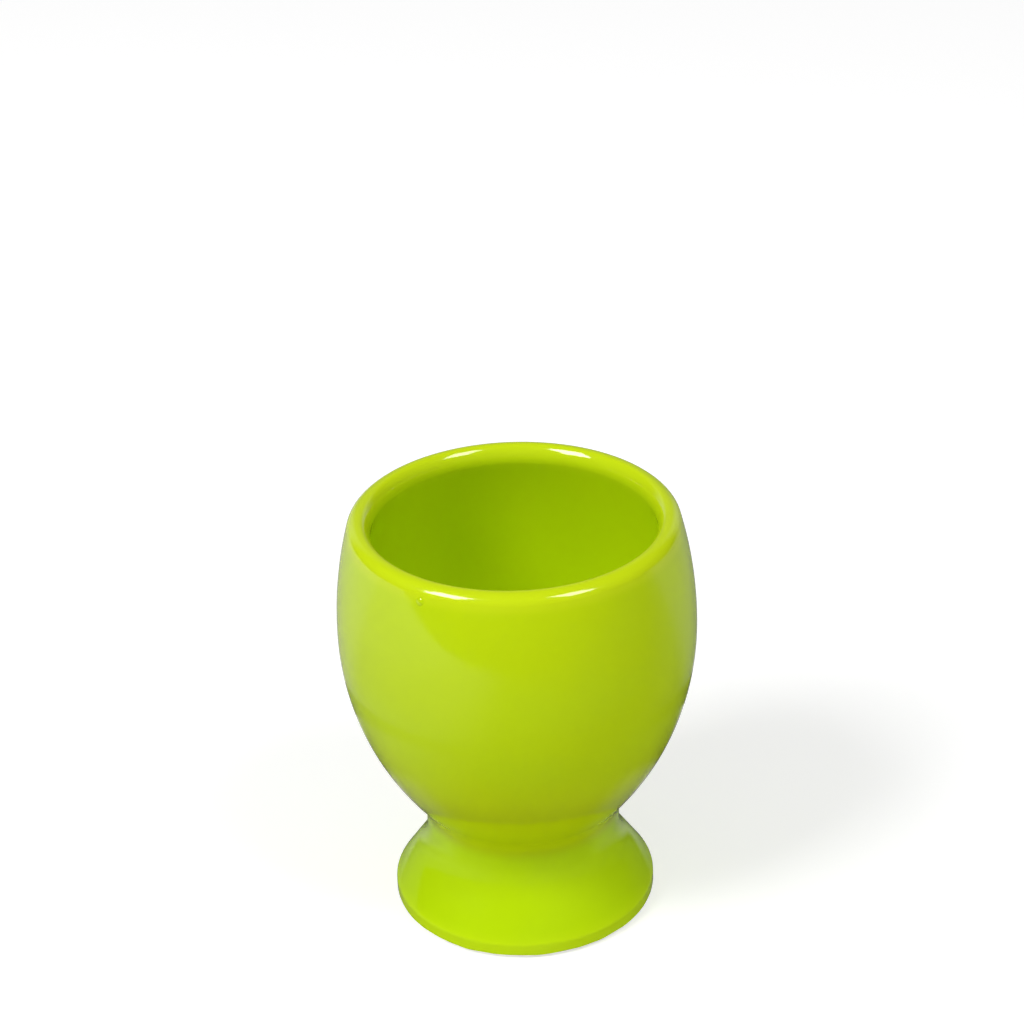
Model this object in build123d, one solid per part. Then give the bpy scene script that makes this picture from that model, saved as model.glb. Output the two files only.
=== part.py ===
from build123d import *
import math
import os

# Glazed ceramic egg cup: a cast bowl luted with slip to a hollow flared foot, coated with glaze.
# Millimetres, +Z up. The origin is on the ground at the middle of the foot. Every piece is turned
# about Z, so each section is drawn flat, with radius as x and height as y. The same tangent circles
# give the fired surface of the glaze (depth 0) and the clay under it (depth = glaze_thickness).

# Foot, outside
foot_diameter = 38.9
foot_height = 12.4
brim_height = 2.0
brim_round = 1.0
flare_share = 0.72

# Neck, the straight waist between foot and bowl
neck_diameter = 28.8
neck_length = 1.0
waist_fillet = 7.0

# Bowl, outside
belly_diameter = 52.0
bowl_lower_height = 32.3
bowl_upper_height = 17.7
lip_inset = 2.1
lip_round = 1.95

# Bowl, inside
throat_round = 1.08
seat_turn = 45.0
wall_thickness = 3.6
floor_thickness = 5.0
floor_round = 15.0

# Hollow under the foot and the bare ring round it
foot_wall = 3.8
foot_roof = 3.6
roof_fillet = 2.5
ring_edge_round = 0.6
bare_height = 0.3

# Coat of glaze, and the slip between foot and bowl
glaze_thickness = 0.35
slip_thickness = 0.4

# Radii and heights that follow from the driving dimensions
foot_radius = foot_diameter / 2
neck_radius = neck_diameter / 2
belly_radius = belly_diameter / 2
neck_top = foot_height + neck_length
belly_height = neck_top + bowl_lower_height
crown_height = belly_height + bowl_upper_height
joint_height = foot_height + neck_length / 2
bowl_base = joint_height + slip_thickness / 2
foot_top = joint_height - slip_thickness / 2
floor_height = bowl_base + floor_thickness
roof_height = foot_top - foot_roof


def bearing(start, end):
    """Angle in degrees of the line from one point to another."""
    return math.degrees(math.atan2(end[1] - start[1], end[0] - start[0])) % 360


# Brim round, and the flare that stands upright at the neck, a share of the widest that would touch the brim
brim_centre = (foot_radius - brim_round, brim_height)
flare_rise = foot_height - brim_height
flare_run = foot_radius - brim_round - neck_radius
widest_flare = (flare_run**2 + flare_rise**2 - brim_round**2) / (2 * (flare_run + brim_round))
flare_radius = flare_share * widest_flare
flare_centre = (neck_radius + flare_radius, foot_height)

# Straight flank that touches both, given by the angle of its normal
flank_turn = math.acos((brim_round + flare_radius) / math.dist(brim_centre, flare_centre))
flank_angle = bearing(brim_centre, flare_centre) - math.degrees(flank_turn)


def beside_flank(height, offset):
    """Radius at a height on the line parallel to the flank, at an offset from the brim's centre."""
    lean = math.radians(flank_angle)
    return brim_centre[0] + (offset - (height - brim_height) * math.sin(lean)) / math.cos(lean)


# Waist fillet, and the lower bowl that touches it and stands upright at the belly
waist_centre = (neck_radius + waist_fillet, neck_top)
waist_run = belly_radius - neck_radius - waist_fillet
lower_radius = (waist_run**2 + bowl_lower_height**2 - waist_fillet**2) / (2 * (belly_radius - neck_radius))
lower_centre = (belly_radius - lower_radius, belly_height)

# Outer round of the lip, and the upper bowl that touches it and stands upright at the belly
crown_radius = belly_radius - lip_inset - lip_round
lip_centre = (crown_radius, crown_height - lip_round)
lip_rise = bowl_upper_height - lip_round
upper_radius = (lip_inset**2 + 2 * lip_inset * lip_round + lip_rise**2) / (2 * lip_inset)
upper_centre = (belly_radius - upper_radius, belly_height)

# Inner round of the lip, which meets the outer one at the crown and turns as far as the seat for the egg
throat_centre = (crown_radius, crown_height - throat_round)
seat_start = 90 + seat_turn
seat_cosine = math.cos(math.radians(seat_start))
seat_sine = math.sin(math.radians(seat_start))

# Seat, which carries on from that round and touches the inner wall
inner_upper_radius = upper_radius - wall_thickness
seat_across = throat_centre[0] + throat_round * seat_cosine - upper_centre[0]
seat_up = throat_centre[1] + throat_round * seat_sine - upper_centre[1]
seat_span = 2 * (inner_upper_radius + seat_across * seat_cosine + seat_up * seat_sine)
seat_round = (seat_across**2 + seat_up**2 - inner_upper_radius**2) / seat_span
seat_shift = throat_round - seat_round
seat_centre = (throat_centre[0] + seat_shift * seat_cosine, throat_centre[1] + seat_shift * seat_sine)

# Round between the inner wall and the flat floor of the bowl
inner_lower_radius = lower_radius - wall_thickness
floor_rise = belly_height - floor_height - floor_round
floor_reach = math.sqrt((inner_lower_radius - floor_round) ** 2 - floor_rise**2)
floor_centre = (lower_centre[0] + floor_reach, floor_height + floor_round)

# Side of the foot's hollow, its fillet to the roof, and the two edges of the bare ring
hollow_offset = brim_round - foot_wall
fillet_height = roof_height - roof_fillet
roof_centre = (beside_flank(fillet_height, hollow_offset - roof_fillet), fillet_height)
fired_edge_round = ring_edge_round + glaze_thickness
ring_outer_centre = (foot_radius - fired_edge_round, ring_edge_round)
ring_inner_centre = (beside_flank(ring_edge_round, hollow_offset + fired_edge_round), ring_edge_round)


def arc(centre, radius, start_angle, end_angle):
    """Arc of a circle from one angle to another, in degrees, either way round."""
    return CenterArc(centre, radius, start_angle, end_angle - start_angle)


def foot_side(depth, start_height=0.0):
    """Outside of the foot from the ring's outer edge up to the neck."""
    edge_radius = fired_edge_round - depth
    edge_sine = max((start_height - ring_edge_round) / edge_radius, -1)
    brim_face = foot_radius - depth
    brim = arc(brim_centre, brim_round - depth, 0, flank_angle)
    flare = arc(flare_centre, flare_radius + depth, flank_angle + 180, 180)
    return [
        arc(ring_outer_centre, edge_radius, math.degrees(math.asin(edge_sine)), 0),
        Line((brim_face, ring_edge_round), (brim_face, brim_height)),
        brim,
        Line(brim @ 1, flare @ 0),
        flare,
    ]


def bowl_side(depth):
    """Outside of the bowl from the neck up to the lip's crown."""
    waist_angle = bearing(lower_centre, waist_centre)
    lip_angle = bearing(upper_centre, lip_centre)
    return [
        arc(waist_centre, waist_fillet + depth, 180, waist_angle - 180),
        arc(lower_centre, lower_radius - depth, waist_angle, 360),
        arc(upper_centre, upper_radius - depth, 0, lip_angle),
        arc(lip_centre, lip_round - depth, lip_angle, 90),
    ]


def cavity_side(depth):
    """Inside of the bowl from the lip's crown down to the middle of the floor."""
    seat_angle = bearing(upper_centre, seat_centre)
    floor_angle = bearing(lower_centre, floor_centre)
    floor_level = floor_height - depth
    return [
        arc(throat_centre, throat_round - depth, 90, seat_start),
        arc(seat_centre, seat_round - depth, seat_start, seat_angle + 180),
        arc(upper_centre, inner_upper_radius + depth, seat_angle, 0),
        arc(lower_centre, inner_lower_radius + depth, 360, floor_angle),
        arc(floor_centre, floor_round + depth, floor_angle, 270),
        Line((floor_centre[0], floor_level), (0, floor_level)),
    ]


def hollow_side(depth, end_height):
    """Roof and side of the foot's hollow from its middle down to the given height."""
    roof_level = roof_height + depth
    fillet = arc(roof_centre, roof_fillet + depth, 90, flank_angle)
    end_radius = beside_flank(end_height, hollow_offset + depth)
    return [
        Line((0, roof_level), (roof_centre[0], roof_level)),
        fillet,
        Line(fillet @ 1, (end_radius, end_height)),
    ]


def turned(edges):
    """Solid made by turning a closed flat section about Z."""
    return revolve(Plane.XZ * make_face(edges), Axis.Z)


def coat(side, **limits):
    """Coat of glaze between the fired surface and the clay along one side."""
    fired = side(0, **limits)
    clay = side(glaze_thickness, **limits)
    first_end = Line(fired[0] @ 0, clay[0] @ 0)
    last_end = Line(fired[-1] @ 1, clay[-1] @ 1)
    return turned([*fired, *clay, first_end, last_end])


def make_bowl():
    """Clay bowl, with the stub of neck that the slip bonds to the foot."""
    outside = bowl_side(glaze_thickness)
    inside = cavity_side(glaze_thickness)
    neck_face = neck_radius - glaze_thickness
    axis = Line(inside[-1] @ 1, (0, bowl_base))
    base = Line((0, bowl_base), (neck_face, bowl_base))
    neck = Line((neck_face, bowl_base), outside[0] @ 0)
    return turned([*outside, *inside, axis, base, neck])


def make_pedestal_foot():
    """Clay foot, hollow from below, standing on its bare ring."""
    outside = foot_side(glaze_thickness)
    ring_edge = arc(ring_inner_centre, ring_edge_round, flank_angle + 180, 270)
    inside = hollow_side(glaze_thickness, end_height=(ring_edge @ 0).Y)
    neck_face = neck_radius - glaze_thickness
    neck = Line(outside[-1] @ 1, (neck_face, foot_top))
    top = Line((neck_face, foot_top), (0, foot_top))
    axis = Line((0, foot_top), inside[0] @ 0)
    ring = Line(ring_edge @ 1, outside[0] @ 0)
    return turned([*outside, neck, top, axis, *inside, ring_edge, ring])


def make_joining_slip():
    """Disc of slip that fills the joint between foot and bowl, flush with the clay neck."""
    return Pos(0, 0, joint_height) * Cylinder(neck_radius - glaze_thickness, slip_thickness)


def outer_side(depth):
    """Whole outside from just above the bare ring to the lip's crown, over the straight neck."""
    foot = foot_side(depth, start_height=bare_height)
    bowl = bowl_side(depth)
    neck = Line(foot[-1] @ 1, bowl[0] @ 0)
    return [*foot, neck, *bowl]


pieces = {
    "bowl": make_bowl(),
    "pedestal_foot": make_pedestal_foot(),
    "joining_slip": make_joining_slip(),
    "outer_glaze": coat(outer_side),
    "inner_glaze": coat(cavity_side),
    "hollow_glaze": coat(hollow_side, end_height=ring_edge_round),
}

os.makedirs("parts", exist_ok=True)
for name, piece in pieces.items():
    export_step(piece, f"parts/{name}.step")
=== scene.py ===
"""Looks of a lime-glazed ceramic egg cup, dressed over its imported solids.

Lengths are metres in the frame of the solids: +Z up, the origin on the ground at the middle of the foot.
"""

import logging
import math
from dataclasses import dataclass, field
from enum import Enum

import bpy
from mathutils import Matrix, Vector


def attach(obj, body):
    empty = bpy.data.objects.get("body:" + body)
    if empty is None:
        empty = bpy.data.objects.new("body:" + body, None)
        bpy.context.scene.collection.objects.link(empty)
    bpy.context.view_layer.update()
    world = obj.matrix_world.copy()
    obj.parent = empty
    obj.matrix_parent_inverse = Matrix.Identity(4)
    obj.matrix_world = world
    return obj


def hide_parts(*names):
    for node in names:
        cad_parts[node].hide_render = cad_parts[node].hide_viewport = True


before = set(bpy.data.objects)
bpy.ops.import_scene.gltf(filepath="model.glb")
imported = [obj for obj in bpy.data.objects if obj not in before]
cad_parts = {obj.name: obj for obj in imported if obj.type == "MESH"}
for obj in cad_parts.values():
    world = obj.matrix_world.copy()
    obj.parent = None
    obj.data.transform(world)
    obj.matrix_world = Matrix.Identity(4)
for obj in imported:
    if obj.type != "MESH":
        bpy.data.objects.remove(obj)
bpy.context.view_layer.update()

LOG = logging.getLogger("egg_cup")
BODY = "root"
MM_PER_METRE = 1000
SHEET_SEGMENTS = 96

# Points nearer than this are one, and an arc turns by no more than this many degrees between two points
SAME_PLACE = 1e-8
WIDEST_TURN = 5.0

# How many times closer the points of a round lie than those of a wall
BROAD_ROUND = 2
SMALL_ROUND = 4
LIP_EDGE = 6

# What each point of a coat's section carries, as attributes of its mesh
CARRIED = ("fired", "hem", "bend", "outer")

Point = tuple[float, float]
Place = tuple[float, float, float]
Colour = tuple[float, float, float]
Socket = bpy.types.NodeSocket


class Slot(Enum):
    """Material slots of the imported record."""

    LIME_GLAZE = "lime_glaze"
    CLAY_BODY = "clay_body"
    SLIP = "slip"


class Skin(Enum):
    """Which face of a coat a point of its section lies on."""

    COVERED = 0.0
    FIRED = 1.0


def bearing(start: Point, end: Point) -> float:
    """Angle in degrees, from 0 to 360, of the line from one point to another."""
    return math.degrees(math.atan2(end[1] - start[1], end[0] - start[0])) % 360


def arc(centre: Point, radius: float, start: float, end: float, step: float) -> list[Point]:
    """Points along an arc, either way round.

    Args:
        centre: Centre of the arc.
        radius: Radius of the arc.
        start: First angle in degrees.
        end: Last angle in degrees.
        step: Longest distance between two points.

    Returns:
        The points in order, both ends included.
    """
    length = abs(math.radians(end - start)) * radius
    count = max(math.ceil(length / step), math.ceil(abs(end - start) / WIDEST_TURN), 1)
    angles = [math.radians(start + (end - start) * i / count) for i in range(count + 1)]
    return [(centre[0] + radius * math.cos(a), centre[1] + radius * math.sin(a)) for a in angles]


def line(start: Point, end: Point, step: float) -> list[Point]:
    """Points along a straight run.

    Args:
        start: First point.
        end: Last point.
        step: Longest distance between two points.

    Returns:
        The points in order, both ends included.
    """
    count = max(math.ceil(math.dist(start, end) / step), 1)
    shares = [i / count for i in range(count + 1)]
    return [(start[0] + (end[0] - start[0]) * s, start[1] + (end[1] - start[1]) * s) for s in shares]


def joined(*runs: list[Point]) -> list[Point]:
    """One run of points made of several.

    Args:
        runs: Runs of points that meet end to end.

    Returns:
        The points in order, each meeting point once.
    """
    points = list(runs[0])
    for run in runs[1:]:
        fresh = run[1:] if math.dist(points[-1], run[0]) < SAME_PLACE else run
        points.extend(fresh)
    return points


@dataclass
class CupProfile:
    """Tangent circles of the cup's section, from the same driving sizes as the solids."""

    foot_diameter: float = 0.0389
    foot_height: float = 0.0124
    brim_height: float = 0.002
    brim_round: float = 0.001
    flare_share: float = 0.72
    neck_diameter: float = 0.0288
    neck_length: float = 0.001
    waist_fillet: float = 0.007
    belly_diameter: float = 0.052
    bowl_lower_height: float = 0.0323
    bowl_upper_height: float = 0.0177
    lip_inset: float = 0.0021
    lip_round: float = 0.00195
    throat_round: float = 0.00108
    seat_turn: float = 45.0
    wall_thickness: float = 0.0036
    floor_thickness: float = 0.005
    floor_round: float = 0.015
    foot_wall: float = 0.0038
    foot_roof: float = 0.0036
    roof_fillet: float = 0.0025
    ring_edge_round: float = 0.0006
    bare_height: float = 0.0003
    glaze_thickness: float = 0.00035
    slip_thickness: float = 0.0004

    def __post_init__(self) -> None:
        """Work out the radii, heights and centres that follow from the driving sizes."""
        self.foot_radius = self.foot_diameter / 2
        self.neck_radius = self.neck_diameter / 2
        self.belly_radius = self.belly_diameter / 2
        self.neck_top = self.foot_height + self.neck_length
        self.belly_height = self.neck_top + self.bowl_lower_height
        self.crown_height = self.belly_height + self.bowl_upper_height
        joint_height = self.foot_height + self.neck_length / 2
        self.floor_height = joint_height + self.slip_thickness / 2 + self.floor_thickness
        self.roof_height = joint_height - self.slip_thickness / 2 - self.foot_roof
        self._place_foot()
        self._place_bowl()
        self._place_hollow()

    def _place_foot(self) -> None:
        """Centres of the brim, the flare and the ring's outer edge, and the lean of the flank."""
        self.brim_centre = (self.foot_radius - self.brim_round, self.brim_height)
        rise = self.foot_height - self.brim_height
        run = self.brim_centre[0] - self.neck_radius
        widest = (run**2 + rise**2 - self.brim_round**2) / (2 * (run + self.brim_round))
        self.flare_radius = self.flare_share * widest
        self.flare_centre = (self.neck_radius + self.flare_radius, self.foot_height)
        reach = math.dist(self.brim_centre, self.flare_centre)
        turn = math.acos((self.brim_round + self.flare_radius) / reach)
        self.flank_angle = bearing(self.brim_centre, self.flare_centre) - math.degrees(turn)
        self.fired_edge_round = self.ring_edge_round + self.glaze_thickness
        self.ring_centre = (self.foot_radius - self.fired_edge_round, self.ring_edge_round)

    def _place_bowl(self) -> None:
        """Centres of the waist, the wall and the lip, outside and inside."""
        self.waist_centre = (self.neck_radius + self.waist_fillet, self.neck_top)
        waist_run = self.belly_radius - self.waist_centre[0]
        lower_span = 2 * (self.belly_radius - self.neck_radius)
        reach = waist_run**2 + self.bowl_lower_height**2 - self.waist_fillet**2
        self.lower_radius = reach / lower_span
        self.lower_centre = (self.belly_radius - self.lower_radius, self.belly_height)
        crown_radius = self.belly_radius - self.lip_inset - self.lip_round
        self.lip_centre = (crown_radius, self.crown_height - self.lip_round)
        lip_rise = self.bowl_upper_height - self.lip_round
        lean = self.lip_inset**2 + 2 * self.lip_inset * self.lip_round + lip_rise**2
        self.upper_radius = lean / (2 * self.lip_inset)
        self.upper_centre = (self.belly_radius - self.upper_radius, self.belly_height)
        self.inner_upper_radius = self.upper_radius - self.wall_thickness
        self.inner_lower_radius = self.lower_radius - self.wall_thickness
        self.throat_centre = (crown_radius, self.crown_height - self.throat_round)
        self._place_seat()
        floor_rise = self.belly_height - self.floor_height - self.floor_round
        floor_reach = math.sqrt((self.inner_lower_radius - self.floor_round) ** 2 - floor_rise**2)
        self.floor_centre = (self.lower_centre[0] + floor_reach, self.floor_height + self.floor_round)

    def _place_seat(self) -> None:
        """Seat that carries on from the throat's round and touches the inner wall."""
        turn = math.radians(90 + self.seat_turn)
        way = Vector((math.cos(turn), math.sin(turn)))
        start = Vector(self.throat_centre) + way * self.throat_round
        reach = start - Vector(self.upper_centre)
        span = 2 * (self.inner_upper_radius + reach.dot(way))
        self.seat_round = (reach.length_squared - self.inner_upper_radius**2) / span
        self.seat_centre = tuple(start - way * self.seat_round)

    def _place_hollow(self) -> None:
        """Centre of the fillet between the hollow's side and its roof."""
        self.hollow_offset = self.brim_round - self.foot_wall
        fillet_height = self.roof_height - self.roof_fillet
        fillet_radius = self.beside_flank(fillet_height, self.hollow_offset - self.roof_fillet)
        self.roof_centre = (fillet_radius, fillet_height)

    def beside_flank(self, height: float, offset: float) -> float:
        """Radius on a line parallel to the foot's flank.

        Args:
            height: Height of the wanted point.
            offset: Distance of the line from the brim's centre, outwards.

        Returns:
            The radius at that height.
        """
        lean = math.radians(self.flank_angle)
        drop = (height - self.brim_height) * math.sin(lean)
        return self.brim_centre[0] + (offset - drop) / math.cos(lean)

    def foot_side(self, depth: float, step: float) -> list[Point]:
        """Outside of the foot from the glaze's hem up to the neck.

        Args:
            depth: Depth below the fired surface.
            step: Longest distance between two points.

        Returns:
            The points from the bottom up.
        """
        edge_radius = self.fired_edge_round - depth
        edge_sine = max((self.bare_height - self.ring_edge_round) / edge_radius, -1)
        face = self.foot_radius - depth
        edge_angle = math.degrees(math.asin(edge_sine))
        edge = arc(self.ring_centre, edge_radius, edge_angle, 0, step / SMALL_ROUND)
        band = line((face, self.ring_edge_round), (face, self.brim_height), step)
        brim = arc(self.brim_centre, self.brim_round - depth, 0, self.flank_angle, step / SMALL_ROUND)
        flare = arc(self.flare_centre, self.flare_radius + depth, self.flank_angle + 180, 180, step)
        return joined(edge, band, brim, line(brim[-1], flare[0], step), flare)

    def bowl_side(self, depth: float, step: float) -> list[Point]:
        """Outside of the bowl from the neck up to the lip's crown.

        Args:
            depth: Depth below the fired surface.
            step: Longest distance between two points.

        Returns:
            The points from the bottom up.
        """
        waist_angle = bearing(self.lower_centre, self.waist_centre)
        lip_angle = bearing(self.upper_centre, self.lip_centre)
        return joined(
            arc(self.waist_centre, self.waist_fillet + depth, 180, waist_angle - 180, step / BROAD_ROUND),
            arc(self.lower_centre, self.lower_radius - depth, waist_angle, 360, step),
            arc(self.upper_centre, self.upper_radius - depth, 0, lip_angle, step),
            arc(self.lip_centre, self.lip_round - depth, lip_angle, 90, step / LIP_EDGE),
        )

    def cavity_side(self, depth: float, step: float) -> list[Point]:
        """Inside of the bowl from the lip's crown to the middle of the floor.

        Args:
            depth: Depth below the fired surface.
            step: Longest distance between two points.

        Returns:
            The points from the crown down.
        """
        seat_start = 90 + self.seat_turn
        seat_angle = bearing(self.upper_centre, self.seat_centre)
        floor_angle = bearing(self.lower_centre, self.floor_centre)
        level = self.floor_height - depth
        seat_fineness = step / SMALL_ROUND
        return joined(
            arc(self.throat_centre, self.throat_round - depth, 90, seat_start, step / LIP_EDGE),
            arc(self.seat_centre, self.seat_round - depth, seat_start, seat_angle + 180, seat_fineness),
            arc(self.upper_centre, self.inner_upper_radius + depth, seat_angle, 0, step),
            arc(self.lower_centre, self.inner_lower_radius + depth, 360, floor_angle, step),
            arc(self.floor_centre, self.floor_round + depth, floor_angle, 270, step),
            line((self.floor_centre[0], level), (0.0, level), step),
        )

    def hollow_side(self, depth: float, step: float) -> list[Point]:
        """Roof and side of the foot's hollow, from its middle down to the glaze's hem.

        Args:
            depth: Depth below the fired surface.
            step: Longest distance between two points.

        Returns:
            The points from the roof's middle outwards and down.
        """
        level = self.roof_height + depth
        roof = line((0.0, level), (self.roof_centre[0], level), step)
        fillet = arc(self.roof_centre, self.roof_fillet + depth, 90, self.flank_angle, step / BROAD_ROUND)
        hem_radius = self.beside_flank(self.ring_edge_round, self.hollow_offset + depth)
        side = line(fillet[-1], (hem_radius, self.ring_edge_round), step)
        return joined(roof, fillet, side)

    def coat_path(self, depth: float, step: float) -> list[Point]:
        """Whole outside and inside of the cup in one run.

        Args:
            depth: Depth below the fired surface.
            step: Longest distance between two points.

        Returns:
            The points from the foot's hem up to the lip and down to the middle of the bowl's floor.
        """
        foot = self.foot_side(depth, step)
        bowl = self.bowl_side(depth, step)
        neck = line(foot[-1], bowl[0], step)
        return joined(foot, neck, bowl, self.cavity_side(depth, step))


@dataclass(frozen=True)
class Fade:
    """Smooth change from a first value to a last one between two places."""

    start: float
    end: float
    first: float = 0.0
    last: float = 1.0


@dataclass(frozen=True)
class Clouds:
    """Cloudy unevenness: clouds to the metre, and detail of the noise."""

    scale: float
    detail: float


@dataclass(frozen=True)
class Pores:
    """Scatter of pits: cells to the metre, width of a pit in its cell, and share of the cells."""

    scale: float
    width: float
    share: float


@dataclass
class Section:
    """Flat section of a coat, as points in order with what each point carries."""

    points: list[Point] = field(default_factory=list)
    fired: list[float] = field(default_factory=list)
    hem: list[float] = field(default_factory=list)
    bend: list[float] = field(default_factory=list)
    outer: list[float] = field(default_factory=list)
    hem_band: float = 0.0012
    bend_reach: float = 0.002

    def add(self, run: list[Point], skin: Skin, hem_height: float) -> None:
        """Add a run of points on one face of the coat.

        Args:
            run: Points as radius and height.
            skin: Face of the coat that they lie on.
            hem_height: Height of the coat's lower edge.
        """
        heights = [height for _, height in run]
        crown = heights.index(max(heights))
        self.points.extend(run)
        self.fired.extend(skin.value for _ in run)
        self.hem.extend(max(0.0, 1 - (height - hem_height) / self.hem_band) for height in heights)
        self.bend.extend(self._bends(run))
        self.outer.extend(1.0 if i <= crown else 0.0 for i in range(len(run)))

    def _bends(self, run: list[Point]) -> list[float]:
        """How sharply a run turns at each point, softened along it.

        Args:
            run: Points as radius and height.

        Returns:
            The turn per millimetre at each point, above 0 on a ridge and below 0 in a hollow.
        """
        turns = [0.0] * len(run)
        for i in range(1, len(run) - 1):
            before = Vector(run[i]) - Vector(run[i - 1])
            after = Vector(run[i + 1]) - Vector(run[i])
            reach = (before.length + after.length) / 2 * MM_PER_METRE
            turns[i] = -before.angle_signed(after) / reach
        places = [0.0]
        for first, second in zip(run, run[1:]):
            places.append(places[-1] + math.dist(first, second))
        soft = []
        for here in places:
            weights = [max(0.0, 1 - abs(here - there) / self.bend_reach) for there in places]
            soft.append(sum(w * t for w, t in zip(weights, turns)) / sum(weights))
        return soft

    def mesh(self, name: str) -> bpy.types.Mesh:
        """Mesh of the section's points, with what they carry as attributes.

        Args:
            name: Name of the mesh.

        Returns:
            The mesh, flat in X and Z.
        """
        mesh = bpy.data.meshes.new(name)
        places = [(radius, 0.0, height) for radius, height in self.points]
        mesh.from_pydata(places, [(i, i + 1) for i in range(len(places) - 1)], [])
        for label in CARRIED:
            values = getattr(self, label)
            mesh.attributes.new(label, "FLOAT", "POINT").data.foreach_set("value", values)
        return mesh


@dataclass
class NodeBench:
    """A node tree that is being wired."""

    tree: bpy.types.NodeTree

    def node(self, kind: str, **settings: object) -> bpy.types.Node:
        """Place a node.

        Args:
            kind: Blender's name for the node's type.
            settings: Properties to set on it.

        Returns:
            The node.
        """
        made = self.tree.nodes.new(kind)
        for name, value in settings.items():
            setattr(made, name, value)
        return made

    def feed(self, socket: Socket, source: object) -> None:
        """Give a socket a link or a plain value.

        Args:
            socket: Input socket.
            source: Output socket to link from, or a value.
        """
        if isinstance(source, Socket):
            self.tree.links.new(source, socket)
        else:
            socket.default_value = source

    def sum(self, operation: str, *terms: object) -> Socket:
        """Place a Math node.

        Args:
            operation: The sum to do.
            terms: Sockets or numbers, in order.

        Returns:
            The result's socket.
        """
        made = self.node("ShaderNodeMath", operation=operation)
        for socket, term in zip(made.inputs, terms):
            self.feed(socket, term)
        return made.outputs[0]

    def chain(self, operation: str, *terms: object) -> Socket:
        """Place Math nodes that take in several terms, one after another.

        Args:
            operation: The sum to do.
            terms: Sockets or numbers, two or more, in order.

        Returns:
            The result's socket.
        """
        result = terms[0]
        for term in terms[1:]:
            result = self.sum(operation, result, term)
        return result

    def ramp(self, value: Socket, low: object, high: object, start: float, end: float) -> Socket:
        """Place a smooth Map Range node.

        Args:
            value: Socket to map.
            low: Value that gives start.
            high: Value that gives end.
            start: First result.
            end: Last result.

        Returns:
            The result's socket.
        """
        made = self.node("ShaderNodeMapRange", interpolation_type="SMOOTHSTEP")
        labels = ("Value", "From Min", "From Max", "To Min", "To Max")
        for label, term in zip(labels, (value, low, high, start, end)):
            self.feed(made.inputs[label], term)
        return made.outputs["Result"]

    def fade(self, value: Socket, change: Fade) -> Socket:
        """Place a smooth Map Range node for a fade."""
        return self.ramp(value, change.start, change.end, change.first, change.last)

    def blend(self, share: Socket, first: object, second: object) -> Socket:
        """Place a node that mixes two colours.

        Args:
            share: Share of the second colour.
            first: First colour or its socket.
            second: Second colour or its socket.

        Returns:
            The mixed colour's socket.
        """
        made = self.node("ShaderNodeMix", data_type="RGBA")
        self.feed(made.inputs[0], share)
        for socket, colour in ((made.inputs[6], first), (made.inputs[7], second)):
            self.feed(socket, (*colour, 1.0) if isinstance(colour, tuple) else colour)
        return made.outputs[2]

    def axes(self, vector: Socket) -> bpy.types.NodeOutputs:
        """Part a vector into its X, Y and Z.

        Args:
            vector: Socket of the vector.

        Returns:
            The three sockets, by name.
        """
        made = self.node("ShaderNodeSeparateXYZ")
        self.feed(made.inputs[0], vector)
        return made.outputs

    def own_place(self) -> Socket:
        """Place on the piece's surface, in the piece's own coordinates."""
        return self.node("ShaderNodeTexCoord").outputs["Object"]

    def open_socket(self, name: str, kind: str, way: str = "INPUT") -> None:
        """Add a named socket to the tree's interface."""
        self.tree.interface.new_socket(name, in_out=way, socket_type=kind)


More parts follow.
